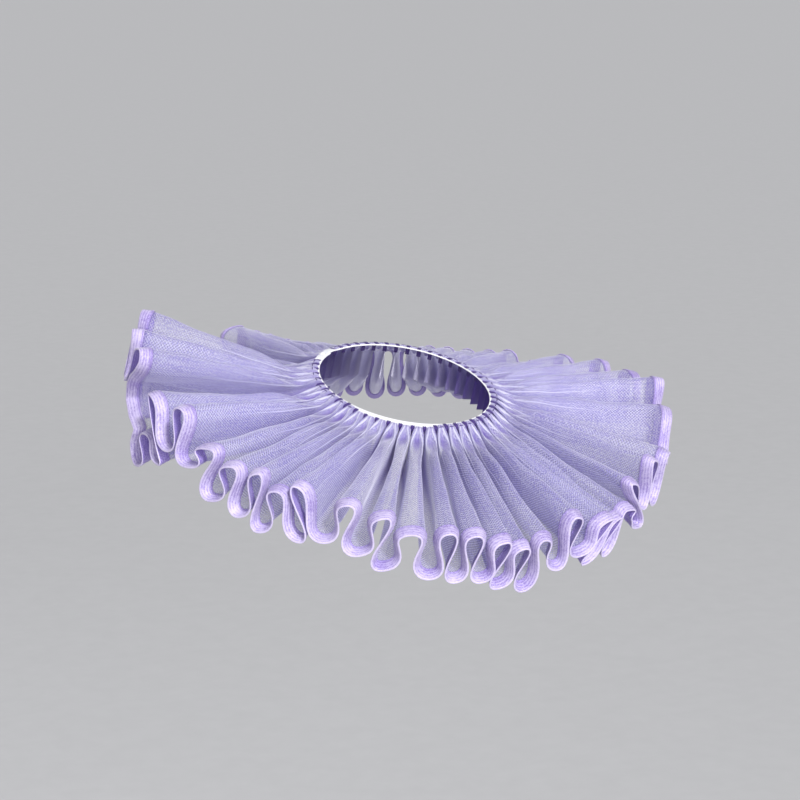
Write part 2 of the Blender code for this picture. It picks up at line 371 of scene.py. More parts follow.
def net_point(turn, distance):
    """A point of the finished net: the strip with its knuckles, pockets, ripples and leaning edge."""
    turn, distance = np.broadcast_arrays(turn, distance)
    point = cloth_point(turn, distance)
    offset = turn - np.round(turn)
    low = np.sin(math.pi * offset) ** 2
    fade = 1 - smoothstep(distance / HEADER_FADE)
    azimuth = pleat_azimuth(turn)
    along = NECK_ACROSS * np.cos(azimuth)[..., None] + NECK_BACK * np.sin(azimuth)[..., None]

    pinch = KNUCKLE_PINCH * window(offset, PINCH_FLAT, PINCH_END) * (1 - smoothstep(distance / KNUCKLE_OPEN))
    swell = KNUCKLE_SWELL * (1 - pinch) * fade + ARCH_SWELL * hump(distance, ARCH_PLACE, ARCH_LENGTH)
    sideways = swell * np.sin(2 * math.pi * offset) * PLEAT_PITCH * (NECK_RADIUS + TAPE_WIDTH + distance)
    flatten = PLEAT_HEIGHT * (low - low ** KNUCKLE_FLATNESS) * fade
    puff = KNUCKLE_PUFF * np.sin(math.pi * np.clip(distance / KNUCKLE_CLOTH, 0, 1))
    lift_end = 1 - smoothstep((distance - KNUCKLE_CLOTH) / LIFT_FADE)
    lift = (KNUCKLE_LIFT + puff) * window(offset, LIFT_FLAT, LIFT_END) * lift_end
    spread = smoothstep((distance - POCKET_START) / POCKET_SPREAD)
    half_width = POCKET_NARROW + (POCKET_WIDE - POCKET_NARROW) * spread
    sink = smoothstep((distance - POCKET_START) / (POCKET_DEEPEST - POCKET_START))
    rise = smoothstep((distance - POCKET_DEEPEST) / (POCKET_END - POCKET_DEEPEST))
    pocket = POCKET_DEPTH * hump(offset, 0, half_width) * sink * (1 - rise)
    upwards = flatten + lift - pocket
    inwards = tape_overlap(azimuth) * window(offset, OVERLAP_FLAT, OVERLAP_END)
    inwards = inwards * (1 - smoothstep(distance / OVERLAP_FADE))

    rippled = smoothstep(distance / HEADER_FADE)
    rippled = rippled * (1 - smoothstep((distance / CLOTH_REACH - RIPPLE_END) / RIPPLE_FADE))
    for ripple in RIPPLES:
        wave = np.sin(2 * math.pi * (turn / ripple.turns + distance / ripple.reach) + ripple.phase)
        upwards = upwards + ripple.depth * wave * rippled

    point = point + along * sideways[..., None]
    point = point + NECK_UP * upwards[..., None]
    point = point + rim_shift(turn, CLOTH_REACH - distance)
    return point - tape_slope(azimuth) * inwards[..., None]


# -------- mesh helpers

def add_uvs(thing, name, uvs):
    """A UV map that gives each point its own pair of numbers."""
    mesh = thing.data
    layer = mesh.uv_layers.new(name=name)
    corners = np.empty(len(mesh.loops), np.int32)
    mesh.loops.foreach_get("vertex_index", corners)
    layer.data.foreach_set("uv", np.asarray(uvs)[corners].astype(np.float32).ravel())


def add_object(name, points, faces, material, uvs=None):
    """A smooth mesh object from points, faces and, for each point, a place on the flat cloth in metres."""
    mesh = bpy.data.meshes.new(name)
    mesh.from_pydata(points, [], faces)
    mesh.shade_smooth()
    thing = bpy.data.objects.new(name, mesh)
    thing.data.materials.append(material)
    bpy.context.scene.collection.objects.link(thing)
    if uvs is not None:
        add_uvs(thing, "cloth", uvs)
    return thing


def grid_faces(rows, columns, rows_close=False):
    """Four-sided faces of a grid of points kept row by row; with rows_close, the last row meets the first."""
    row_count = rows if rows_close else rows - 1
    row, column = np.meshgrid(np.arange(row_count), np.arange(columns - 1), indexing="ij")
    following = (row + 1) % rows
    corners = (row * columns + column, row * columns + column + 1,
               following * columns + column + 1, following * columns + column)
    return np.stack(corners, -1).reshape(-1, 4)


def cap_faces(rows, columns):
    """Faces that close the two ends of a band whose rows run round its section, out and then back."""
    faces = []
    for column, flip in ((0, False), (columns - 1, True)):
        ring = [row * columns + column for row in range(rows)]
        half = rows // 2
        for step in range(half - 1):
            face = [ring[step], ring[step + 1], ring[rows - 2 - step], ring[rows - 1 - step]]
            if len(set(face)) == 4:
                faces.append(face[::-1] if flip else face)
    return np.array(faces)


LEAF_BEVEL = 0.25 * MM
LEAF_EDGE_SHARE = 0.05
LEAF_SWELL = 1.03
GROOVE_HALF_WIDTH = 0.45 * MM
GROOVE_SHOULDER = 0.97
FOLD_LENGTH, FOLD_SWELL = 1.6, 1.02
SLOT_END_SHARE = 0.55


def band_section(width, half_fold, half_slot, wall_end, groove_place, groove_depth, steps):
    """The closed section of a ribbon folded in half, as (distance from the fold, offset from its middle).

    The outer side runs from the upper leaf's free edge, over the groove that its stitches draw in, round the
    fold to the lower leaf's, and the inner side, against the cloth that it binds, runs back.
    """
    arc = [math.pi / 2 * step / steps for step in range(steps)]
    shoulder = half_fold * GROOVE_SHOULDER
    free_edge = (half_slot + wall_end) / 2 + half_fold * LEAF_EDGE_SHARE
    upper = [(width, free_edge), (width - LEAF_BEVEL, wall_end)]
    upper += [(groove_place + GROOVE_HALF_WIDTH, shoulder), (groove_place, half_fold - groove_depth)]
    upper += [(groove_place - GROOVE_HALF_WIDTH, shoulder), (width / 2, half_fold * LEAF_SWELL)]
    upper += [(half_fold * FOLD_LENGTH, half_fold * FOLD_SWELL)]
    upper += [(half_fold * (1 - math.sin(angle)), half_fold * math.cos(angle)) for angle in arc]
    slot_end = half_fold * SLOT_END_SHARE
    leaf = [(distance, half_slot) for distance, _ in upper[:-steps]]
    bend = [(slot_end + half_slot * (1 - math.sin(angle)), half_slot * math.cos(angle)) for angle in arc]
    inner = (leaf + bend)[::-1]
    outer = upper + [(0.0, 0.0)] + [(s, -n) for s, n in upper[::-1]]
    back = [(s, -n) for s, n in inner[::-1]] + [(slot_end, 0.0)] + inner
    return outer + back


def band_grid(section, rows, along):
    """Points, faces and places on the flat cloth of a band, from its section and the points of each row."""
    sides = np.array([math.copysign(distance, offset) for distance, offset in section])
    uvs = np.stack(np.broadcast_arrays(along[None, :], sides[:, None]), -1)
    faces = grid_faces(len(section), len(along), rows_close=True)
    faces = np.concatenate((faces, cap_faces(len(section), len(along))))
    return np.array(rows).reshape(-1, 3), faces, uvs.reshape(-1, 2)


# -------- materials

def new_material(name):
    material = bpy.data.materials.new(name)
    material.use_nodes = True
    material.node_tree.nodes.clear()
    return material, Nodes(material.node_tree)


Grain = namedtuple("Grain", "along across detail share", defaults=(1.0,))


class Nodes:
    """Short ways to add shader nodes to one tree."""

    def __init__(self, tree):
        self.tree = tree

    def add(self, kind, **settings):
        node = self.tree.nodes.new(kind)
        for key, value in settings.items():
            setattr(node, key, value)
        return node

    def join(self, source, target):
        self.tree.links.new(source, target)

    def feed(self, socket, value):
        if isinstance(value, bpy.types.NodeSocket):
            self.join(value, socket)
        else:
            socket.default_value = value

    def math(self, operation, *values):
        node = self.add("ShaderNodeMath", operation=operation)
        for socket, value in zip(node.inputs, values):
            self.feed(socket, value)
        return node.outputs[0]

    def times(self, first, second):
        return self.math("MULTIPLY", first, second)

    def plus(self, first, second):
        return self.math("ADD", first, second)

    def map_range(self, value, low, high, to_low, to_high, smooth=True):
        node = self.add("ShaderNodeMapRange", interpolation_type="SMOOTHSTEP" if smooth else "LINEAR")
        for name, given in (("Value", value), ("From Min", low), ("From Max", high),
                            ("To Min", to_low), ("To Max", to_high)):
            self.feed(node.inputs[name], given)
        return node.outputs["Result"]

    def mix_colour(self, share, first, second):
        node = self.add("ShaderNodeMix", data_type="RGBA")
        for socket, value in ((0, share), (6, first), (7, second)):
            self.feed(node.inputs[socket], value)
        return node.outputs[2]

    def places(self, uv_map):
        """A UV map's two numbers. Those of "cloth" are places along and across it flat, in metres."""
        uv = self.add("ShaderNodeUVMap", uv_map=uv_map)
        parts = self.add("ShaderNodeSeparateXYZ")
        self.join(uv.outputs[0], parts.inputs[0])
        return parts.outputs[0], parts.outputs[1]

    def noise(self, along, across, grain):
        """Noise over a flat cloth, with its own scale each way."""
        place = self.add("ShaderNodeCombineXYZ")
        self.feed(place.inputs[0], self.times(along, grain.along))
        self.feed(place.inputs[1], self.times(across, grain.across))
        node = self.add("ShaderNodeTexNoise")
        self.join(place.outputs[0], node.inputs["Vector"])
        node.inputs["Scale"].default_value = 1.0
        node.inputs["Detail"].default_value = grain.detail
        return node.outputs[0]

    def object_noise(self, scale):
        place = self.add("ShaderNodeTexCoord")
        node = self.add("ShaderNodeTexNoise")
        node.inputs["Scale"].default_value = scale
        self.join(place.outputs["Object"], node.inputs["Vector"])
        return node.outputs[0]

    def bump(self, height, strength, distance):
        node = self.add("ShaderNodeBump")
        node.inputs["Strength"].default_value = strength
        node.inputs["Distance"].default_value = distance
        self.join(height, node.inputs["Height"])
        return node.outputs[0]

    def mix_shader(self, share, first, second):
        node = self.add("ShaderNodeMixShader")
        for socket, value in zip(node.inputs, (share, first, second)):
            self.feed(socket, value)
        return node.outputs[0]

    def principled(self, colour, roughness, normal=None, sheen=()):
        """A surface shader; its sheen, if it has one, is its weight, roughness and tint."""
        body = self.add("ShaderNodeBsdfPrincipled")
        self.feed(body.inputs["Base Color"], colour)
        self.feed(body.inputs["Roughness"], roughness)
        if normal is not None:
            self.join(normal, body.inputs["Normal"])
        for name, value in zip(("Sheen Weight", "Sheen Roughness", "Sheen Tint"), sheen):
            body.inputs[name].default_value = value
        return body.outputs[0]

    def output(self, shader):
        self.join(shader, self.add("ShaderNodeOutputMaterial").inputs["Surface"])


def rgba(red, green, blue):
    return (red, green, blue, 1.0)


# The net: its diamond mesh, which is the spacing of its threads, and how dark or pale they are.
NET_MESH = 2.5 * MM
THREAD_CORE, THREAD_EDGE = 0.20, 0.44
NET_PALE = rgba(0.88, 0.87, 0.98)
NET_DEEP = rgba(0.34, 0.30, 0.70)
# The colour of the painted shade.
NET_PAINTED_SHADE = rgba(0.15, 0.09, 0.42)
# The colour of the painted highlights and sheen.
NET_HIGHLIGHT = rgba(0.88, 0.87, 1.0)
NET_HOLE = rgba(0.48, 0.44, 0.78)
NET_SHEEN = (1.0, 0.25, rgba(0.9, 0.88, 1.0))
NET_BUMP = (0.6, 0.15 * MM)
HOLE_ROUGHNESS, THREAD_ROUGHNESS = 0.72, 0.5
NET_GLOW_SHARE = 0.28
NET_MOTTLES = (Grain(900.0, 14.0, 3.0, 0.25), Grain(38.0, 30.0, 2.0, 0.20), Grain(560.0, 560.0, 2.0, 0.55))
NET_MOTTLE_LOW, NET_MOTTLE_HIGH = 0.39, 0.58

# Painted shade where the net is drawn together, partly for its denser cloth: between the crests, most of all
# near the tape; on the knuckles; in the pockets, some more than others; and where it goes in under the
# ribbon.
GATHERED_END = 27.0 * MM
PLEATED_END = 95.0 * MM
PLEATED_NEAR, PLEATED_FAR = 0.75, 0.12
VALLEY_NEAR, VALLEY_FAR, VALLEY_BLEND = 0.13, 0.22, 0.17
VALLEY_WANDER = 0.05
VALLEY_GRAIN = Grain(60.0, 22.0, 1.0)
KNUCKLE_SHADE = 0.38
KNUCKLE_SHADE_END = 13.0 * MM
POCKET_SHADE = 0.85
POCKET_SHADE_LEAST = 0.35
POCKET_GRAIN = Grain(0.83, 0.0, 0.0)
POCKET_SHADE_END = 38.0 * MM
POCKET_SHADE_CORE, POCKET_SHADE_TIP = 0.2, 0.35
BOUND_START = CLOTH_REACH - RIBBON_DEPTH
BOUND_SHADE = 0.55
BOUND_SHADE_LENGTH = 2.2 * MM

# Painted highlights on the ridges at both sides of a pocket, in its half widths from the crest, and the
# net's painted sheen.
RIDGE_PLACE = 1.12
RIDGE_WIDE, RIDGE_NARROW = 0.035, 0.009
RIDGE_SHARE, RIDGE_SHARE_FAR = 0.8, 0.25
PAINTED_SHEEN_START, PAINTED_SHEEN_FULL, PAINTED_SHEEN_SHARE = 0.62, 0.97, 0.6

# How much shows through the net where it is seen straight on, and how that falls where it is dense or slants.
CLEAR_HOLE, CLEAR_THREAD = 0.80, 0.36
CLEAR_DENSE = 0.35
LEAST_SLOPE = 0.18
HEADER_LAYERS = 4.0


def net_threads(n, along, across):
    """1 on the threads of the diamond mesh, and 0 in its holes."""
    slant = math.pi / NET_MESH
    one = n.math("ABSOLUTE", n.math("SINE", n.times(n.plus(along, across), slant)))
    other = n.math("ABSOLUTE", n.math("SINE", n.times(n.math("SUBTRACT", along, across), slant)))
    return n.map_range(n.math("MINIMUM", one, other), THREAD_CORE, THREAD_EDGE, 1.0, 0.0)


def net_painted_shade(n, across, turn, offset, half_width, near):
    """How much painted shade the net gets where it is drawn together; it also makes the net denser there."""
    pleated = n.map_range(across, 0.0, PLEATED_END, PLEATED_NEAR, PLEATED_FAR)
    valley = n.map_range(across, 0.0, HEADER_FADE, VALLEY_NEAR, VALLEY_FAR)
    valley = n.map_range(offset, valley, n.plus(valley, VALLEY_BLEND), 0.0, 1.0)
    painted_shade = n.times(n.math("MAXIMUM", near, pleated), valley)
    knuckle = n.map_range(across, 0.0, KNUCKLE_SHADE_END, KNUCKLE_SHADE, 0.0)
    painted_shade = n.math("MAXIMUM", painted_shade, knuckle)

    sunk = n.map_range(across, POCKET_START, POCKET_DEEPEST, 0.0, POCKET_SHADE)
    risen = n.map_range(across, POCKET_DEEPEST, POCKET_SHADE_END, 1.0, 0.0, smooth=False)
    uneven = n.map_range(n.noise(turn, 0.0, POCKET_GRAIN), 0.35, 0.65, POCKET_SHADE_LEAST, 1.0)
    sunk = n.times(n.times(sunk, risen), uneven)
    sides = n.math("DIVIDE", offset, half_width)
    side_end = n.map_range(across, POCKET_DEEPEST, POCKET_SHADE_END, 1.0, POCKET_SHADE_TIP)
    pocket = n.times(sunk, n.map_range(sides, POCKET_SHADE_CORE, side_end, 1.0, 0.0))
    painted_shade = n.math("MAXIMUM", painted_shade, pocket)

    bound = n.map_range(across, BOUND_START - BOUND_SHADE_LENGTH, BOUND_START, 0.0, BOUND_SHADE)
    return n.math("MAXIMUM", painted_shade, bound)


def net_ridge_highlights(n, across, offset, half_width):
    """How strong the painted highlight on the two ridges beside each pocket is."""
    away = n.math("ABSOLUTE", n.math("SUBTRACT", offset, n.times(half_width, RIDGE_PLACE)))
    width = n.map_range(across, POCKET_START, POCKET_END, RIDGE_WIDE, RIDGE_NARROW)
    ridge_highlight = n.map_range(n.math("DIVIDE", away, width), 0.0, 1.0, 1.0, 0.0)
    share = n.map_range(across, POCKET_END, PLEATED_END, RIDGE_SHARE, RIDGE_SHARE_FAR)
    return n.times(ridge_highlight, share)


def net_mottle(n, along, across):
    """Streaks along the strip, clouds and specks, as one number."""
    total = None
    for mottle in NET_MOTTLES:
        part = n.times(n.noise(along, across, mottle), mottle.share)
        total = part if total is None else n.plus(total, part)
    return n.map_range(total, NET_MOTTLE_LOW, NET_MOTTLE_HIGH, 0.0, 1.0)


def net_material():
    """Fine stiff net: a diamond mesh that lets light through, and is more closed the flatter it is seen.

    Where drawn together it is dense, with painted shade. Its pocket ridges and sheen are painted highlights.
    """
    material, n = new_material("lilac_net")
    along, across = n.places("cloth")
    thread = net_threads(n, along, across)

    turn, _ = n.places("fold")
    wander = n.math("SUBTRACT", n.noise(along, across, VALLEY_GRAIN), 0.5)
    wander = n.times(wander, VALLEY_WANDER)
    offset = n.math("ABSOLUTE", n.plus(n.math("PINGPONG", turn, 0.5), wander))
    near = n.map_range(across, 0.0, GATHERED_END, 1.0, 0.0)
    half_width = n.map_range(across, POCKET_START, POCKET_START + POCKET_SPREAD, POCKET_NARROW, POCKET_WIDE)
    painted_shade = net_painted_shade(n, across, turn, offset, half_width, near)
    ridge_highlight = net_ridge_highlights(n, across, offset, half_width)

    facing = n.add("ShaderNodeLayerWeight")
    facing.inputs["Blend"].default_value = 0.5
    facing = facing.outputs["Facing"]
    # Painted sheen: the colour turns pale where the net is seen edge-on.
    sheen = n.map_range(facing, PAINTED_SHEEN_START, PAINTED_SHEEN_FULL, 0.0, PAINTED_SHEEN_SHARE)
    colour = n.mix_colour(net_mottle(n, along, across), NET_DEEP, NET_PALE)
    colour = n.mix_colour(thread, NET_HOLE, colour)
    # Painted shade where the net is drawn together.
    colour = n.mix_colour(painted_shade, colour, NET_PAINTED_SHADE)
    # Painted highlights on the pocket ridges, and painted sheen where the net is seen edge-on.
    colour = n.mix_colour(n.math("MAXIMUM", ridge_highlight, sheen), colour, NET_HIGHLIGHT)

    clear = n.map_range(thread, 0.0, 1.0, CLEAR_HOLE, CLEAR_THREAD, smooth=False)
    dense = n.map_range(n.math("MAXIMUM", ridge_highlight, painted_shade), 0.0, 1.0, 1.0, CLEAR_DENSE)
    slope = n.math("MAXIMUM", n.math("SUBTRACT", 1.0, facing), LEAST_SLOPE)
    layers = n.plus(1.0, n.times(near, HEADER_LAYERS))
    see_through = n.math("POWER", n.times(clear, dense), n.math("DIVIDE", layers, slope))

    roughness = n.map_range(thread, 0.0, 1.0, HOLE_ROUGHNESS, THREAD_ROUGHNESS)
    body = n.principled(colour, roughness, n.bump(thread, *NET_BUMP), NET_SHEEN)
    glow = n.add("ShaderNodeBsdfTranslucent")
    n.join(colour, glow.inputs["Color"])
    cloth = n.mix_shader(NET_GLOW_SHARE, body, glow.outputs[0])
    holes = n.add("ShaderNodeBsdfTransparent").outputs[0]
    n.output(n.mix_shader(n.math("SUBTRACT", 1.0, see_through), holes, cloth))
    return material


# Woven ribbons. Places across one are measured from its fold: above 0 on its shaded leaf, which has painted
# shade and is the edge ribbon's under leaf and the neck tape's upper one, and below 0 on the other.
RIB_PITCH, RIB_SHARE = 0.55 * MM, 0.5
WARP_PITCH, WARP_SHARE = 0.35 * MM, 0.3
LINE_PITCH, LINE_SHARE = 2.2 * MM, 0.08
LINE_GRAIN = Grain(90.0, 300.0, 1.0, 1.6)
MOTTLE_GRAIN = Grain(380.0, 620.0, 3.0, 0.5)
CLOUD_GRAIN = Grain(45.0, 60.0, 2.0, 0.5)
DEEP_BELOW, PALE_ABOVE = 0.3, 0.66
SEAM_LINE_CORE, SEAM_LINE_EDGE, SEAM_LINE_SHARE = 0.15 * MM, 0.9 * MM, 0.75
SHADED_START, SHADED_FULL, SHADED_SHARE = 0.4 * MM, 1.4 * MM, 0.7
FLECK_LOW, FLECK_HIGH = 0.56, 0.68
FLECK_GRAIN = Grain(1500.0, 1300.0, 0.0, 0.55)
# Where a ribbon's fold gets its painted highlight.
FOLD_HIGHLIGHT_CORE, FOLD_HIGHLIGHT_EDGE, FOLD_HIGHLIGHT_SHARE = 0.3 * MM, 1.2 * MM, 0.5
WOVEN_SHEEN = rgba(0.9, 0.85, 1.0)
WOVEN_SHEEN_SPREAD = 0.35
ROUGHER, SMOOTHER = 0.12, 0.06
MOTTLE_HEIGHT = 0.8
WOVEN_BUMP = (0.45, 0.08 * MM)
# The pale colour of the flecks is also the painted highlight along the fold, and the shaded colour is painted
# shade.
Woven = namedtuple("Woven", "name pale deep seam worn shaded seam_place roughness sheen")
RIBBON_SEAM_PLACE = 8.8 * MM
TAPE_SEAM_PLACE = 4.8 * MM
RIBBON_CLOTH = Woven(
    name="lilac_ribbon", pale=rgba(0.60, 0.53, 0.78), deep=rgba(0.26, 0.19, 0.50),
    seam=rgba(0.16, 0.10, 0.42), worn=rgba(0.72, 0.65, 0.88), shaded=rgba(0.20, 0.12, 0.52),
    seam_place=RIBBON_SEAM_PLACE, roughness=0.42, sheen=0.3)
TAPE_CLOTH = Woven(
    name="white_tape", pale=rgba(0.92, 0.92, 0.94), deep=rgba(0.84, 0.84, 0.88),
    seam=rgba(0.70, 0.70, 0.76), worn=rgba(0.96, 0.96, 0.97), shaded=rgba(0.80, 0.80, 0.86),
    seam_place=TAPE_SEAM_PLACE, roughness=0.5, sheen=0.2)


def woven_material(look):
    """A woven ribbon: ribs across it, threads and faint lines along it, a mottle and flecks.

    It is darker along its stitches, has painted shade on its shaded leaf and a painted highlight on its fold.
    """
    material, n = new_material(look.name)
    along, across = n.places("cloth")
    ribs = n.math("SINE", n.times(along, 2 * math.pi / RIB_PITCH))
    warp = n.math("SINE", n.times(across, 2 * math.pi / WARP_PITCH))
    weave = n.plus(n.times(ribs, RIB_SHARE), n.times(warp, WARP_SHARE))
    mottle = n.noise(along, across, MOTTLE_GRAIN)
    clouds = n.noise(along, across, CLOUD_GRAIN)
    wander = n.times(n.noise(along, across, LINE_GRAIN), LINE_GRAIN.share)
    lines = n.math("SINE", n.plus(n.times(across, 2 * math.pi / LINE_PITCH), wander))
    share = n.plus(n.times(mottle, MOTTLE_GRAIN.share), n.times(clouds, CLOUD_GRAIN.share))
    share = n.plus(share, n.times(lines, LINE_SHARE))
    colour = n.mix_colour(n.map_range(share, DEEP_BELOW, PALE_ABOVE, 0.0, 1.0), look.deep, look.pale)

    from_fold = n.math("ABSOLUTE", across)
    from_seam = n.math("ABSOLUTE", n.math("SUBTRACT", from_fold, look.seam_place))
    seam = n.map_range(from_seam, SEAM_LINE_CORE, SEAM_LINE_EDGE, SEAM_LINE_SHARE, 0.0)
    colour = n.mix_colour(seam, colour, look.seam)
    # Painted shade: the shaded leaf is darker.
    shaded = n.map_range(across, SHADED_START, SHADED_FULL, 0.0, SHADED_SHARE)
    colour = n.mix_colour(shaded, colour, look.shaded)
    flecks = n.map_range(n.noise(along, across, FLECK_GRAIN), FLECK_LOW, FLECK_HIGH, 0.0, FLECK_GRAIN.share)
    colour = n.mix_colour(flecks, colour, look.worn)
    # Painted highlight: the rounded fold is paler.
    worn = n.map_range(from_fold, FOLD_HIGHLIGHT_CORE, FOLD_HIGHLIGHT_EDGE, FOLD_HIGHLIGHT_SHARE, 0.0)
    colour = n.mix_colour(worn, colour, look.worn)

    rough, smooth = look.roughness + ROUGHER, look.roughness - SMOOTHER
    roughness = n.map_range(weave, -RIB_SHARE - WARP_SHARE, RIB_SHARE + WARP_SHARE, rough, smooth)
    normal = n.bump(n.plus(weave, n.times(mottle, MOTTLE_HEIGHT)), *WOVEN_BUMP)
    n.output(n.principled(colour, roughness, normal, (look.sheen, WOVEN_SHEEN_SPREAD, WOVEN_SHEEN)))
    return material


TWIST_PITCH = 0.5 * MM
TWIST_BUMP = (0.5, 0.05 * MM)
TWIST_ROUGH, TWIST_SMOOTH = 0.65, 0.4
EDGE_THREAD_PALE, EDGE_THREAD_DEEP = rgba(0.66, 0.55, 0.93), rgba(0.48, 0.36, 0.84)
HEADER_THREAD_PALE, HEADER_THREAD_DEEP = rgba(0.09, 0.05, 0.26), rgba(0.04, 0.02, 0.14)


def thread_material(name, pale, deep):
    """Twisted sewing thread: strands slanting round it."""
    material, n = new_material(name)
    along, around = n.places("cloth")
    slant = n.times(along, 2 * math.pi / TWIST_PITCH)
    strands = n.math("SINE", n.plus(slant, n.times(around, 2 * math.pi)))
    colour = n.mix_colour(n.map_range(strands, -1.0, 1.0, 0.0, 1.0), deep, pale)
    roughness = n.map_range(strands, -1.0, 1.0, TWIST_ROUGH, TWIST_SMOOTH)
    n.output(n.principled(colour, roughness, n.bump(strands, *TWIST_BUMP)))
    return material


STUD_PALE, STUD_DEEP = rgba(0.86, 0.86, 0.90), rgba(0.74, 0.74, 0.80)
STUD_SPOTS = 900.0
STUD_SMOOTH, STUD_ROUGH = 0.22, 0.34


def stud_material():
    """Glossy pale plastic with a faint mottle and a slightly uneven polish."""
    material, n = new_material("stud_plastic")
    spots = n.object_noise(STUD_SPOTS)
    colour = n.mix_colour(n.map_range(spots, 0.35, 0.65, 0.0, 1.0), STUD_DEEP, STUD_PALE)
    n.output(n.principled(colour, n.map_range(spots, 0.3, 0.7, STUD_SMOOTH, STUD_ROUGH)))
    return material


# -------- the pieces

NET_END = CLOTH_REACH - 1.4 * MM
NET_HEADER_ROWS = 30
NET_HEADER_END = 30.0 * MM
NET_OUTER_ROWS = 30


def length_along(points):
    """The length of a line of points, from its start to each of them."""
    steps = np.linalg.norm(np.diff(points, axis=0), axis=-1)
    return np.concatenate(([0.0], np.cumsum(steps)))


def add_net(material):
    """The net as one surface, with a second map that holds the turn of each of its points."""
    turns = strip_turns(COLUMNS_PER_FOLD)
    header = np.linspace(0.0, NET_HEADER_END, NET_HEADER_ROWS, endpoint=False)
    outer = np.linspace(NET_HEADER_END, NET_END, NET_OUTER_ROWS)
    distances = np.concatenate((header, outer))
    points = net_point(turns[None, :], distances[:, None])
    along = length_along(points[-1])
    uvs = np.stack(np.broadcast_arrays(along[None, :], distances[:, None]), -1)
    faces = grid_faces(len(distances), len(turns))
    net = add_object("net_strip", points.reshape(-1, 3), faces, material, uvs.reshape(-1, 2))
    folds = np.stack(np.broadcast_arrays(turns[None, :], 0 * distances[:, None]), -1)
    add_uvs(net, "fold", folds.reshape(-1, 2))
    return net


RIBBON_HALF_FOLD = 0.75 * MM
RIBBON_HALF_SLOT = 0.22 * MM
RIBBON_FREE_EDGE = 0.72 * MM
RIBBON_GROOVE = 0.16 * MM
RIBBON_FOLD_STEPS = 6


def ribbon_point(turns, distance, offset):
    """A point of the ribbon, at a distance in from its fold and an offset out of the cloth's underside."""
    point = edge_point(turns) + rim_direction(turns, RIM.inward) * distance
    return point + rim_direction(turns, RIM.under) * offset + rim_shift(turns, distance + 0 * turns)


def add_ribbon(material):
    """The ribbon folded over the net's outer edge, and its length."""
    turns = strip_turns(COLUMNS_PER_FOLD)
    section = band_section(RIBBON_DEPTH, RIBBON_HALF_FOLD, RIBBON_HALF_SLOT, RIBBON_FREE_EDGE,
                           RIBBON_SEAM_PLACE, RIBBON_GROOVE, RIBBON_FOLD_STEPS)
    rows = [ribbon_point(turns, distance, offset) for distance, offset in section]
    along = length_along(edge_point(turns))
    points, faces, uvs = band_grid(section, rows, along)
    return add_object("edge_binding", points, faces, material, uvs), along[-1]


TAPE_COLUMNS = 420
TAPE_HALF_FOLD = 0.5 * MM
TAPE_HALF_SLOT = 0.12 * MM
TAPE_FREE_EDGE = 0.42 * MM
TAPE_GROOVE = 0.1 * MM
TAPE_FOLD_STEPS = 3


def tape_place(share):
    """Azimuth and lift of the tape along its length: its far end climbs to lap over its near one."""
    length = 2 * math.pi + LAP_ANGLE
    azimuth = OPENING_AZIMUTH - LAP_ANGLE / 2 + length * share
    ramp_start = length - LAP_ANGLE - LAP_RAMP
    climb = smoothstep((length * share - ramp_start) / LAP_RAMP)
    return azimuth, climb * (TAPE_WALL + SEAM_GAP)


def tape_frame(azimuth, lift):
    """The tape's inner edge, and the directions across it and up out of it."""
    inner = tape_point(azimuth, 0 * azimuth, lift)
    outward = unit(tape_point(azimuth, TAPE_WIDTH + 0 * azimuth, lift) - inner)
    tangent = unit(np.gradient(inner, axis=0))
    normal = unit(np.cross(outward, tangent))
    return inner, outward, -normal if normal[0].dot(NECK_UP) < 0 else normal


def add_tape(material):
    """The tape folded over the pleats' inner ends, and its length."""
    azimuth, lift = tape_place(np.linspace(0.0, 1.0, TAPE_COLUMNS + 1))
    inner, outward, normal = tape_frame(azimuth, lift)
    section = band_section(TAPE_WIDTH, TAPE_HALF_FOLD, TAPE_HALF_SLOT, TAPE_FREE_EDGE,
                           TAPE_SEAM_PLACE, TAPE_GROOVE, TAPE_FOLD_STEPS)
    rows = [inner + outward * distance + normal * offset for distance, offset in section]
    along = length_along(inner)
    points, faces, uvs = band_grid(section, rows, along)
    return add_object("neck_binding", points, faces, material, uvs), along[-1]


THREAD_SIDES = 6


def add_threads(name, paths, radius, material):
    """Many short threads as one mesh: each a tube of THREAD_SIDES sides along its path, with pointed ends."""
    points, faces, uvs = [], [], []
    turn = np.arange(THREAD_SIDES) * 2 * math.pi / THREAD_SIDES
    for path in paths:
        path = np.asarray(path)
        tangent = unit(np.gradient(path, axis=0))
        side = unit(np.cross(tangent, NECK_UP + 0.01 * NECK_ACROSS))
        lift = np.cross(side, tangent)
        along = length_along(path)
        start = len(points)
        points.append(path[0] - tangent[0] * radius)
        uvs.append((0.0, 0.0))
        for place in range(len(path)):
            for angle in turn:
                out = side[place] * math.cos(angle) + lift[place] * math.sin(angle)
                points.append(path[place] + radius * out)
                uvs.append((along[place], angle / (2 * math.pi)))
        points.append(path[-1] + tangent[-1] * radius)
        uvs.append((along[-1], 0.0))
        first, last = start + 1, len(points) - 1
        for step in range(THREAD_SIDES):
            following = (step + 1) % THREAD_SIDES
            faces.append((start, first + following, first + step))
            for place in range(len(path) - 1):
                ring, after = first + place * THREAD_SIDES, first + (place + 1) * THREAD_SIDES
                faces.append((ring + step, ring + following, after + following, after + step))
            end_ring = first + (len(path) - 1) * THREAD_SIDES
            faces.append((last, end_ring + step, end_ring + following))
    return add_object(name, points, faces, material, uvs)


STITCH_PITCH = 3.0 * MM
STITCH_LENGTH = 2.2 * MM
STITCH_RADIUS = 0.16 * MM
STITCH_START = 0.4 * MM
STITCH_LAST_GAP = 0.1 * MM
STITCH_ARCH = np.array((0.62, 0.86, 0.62)) * MM
STITCH_COLUMNS_PER_FOLD = 60


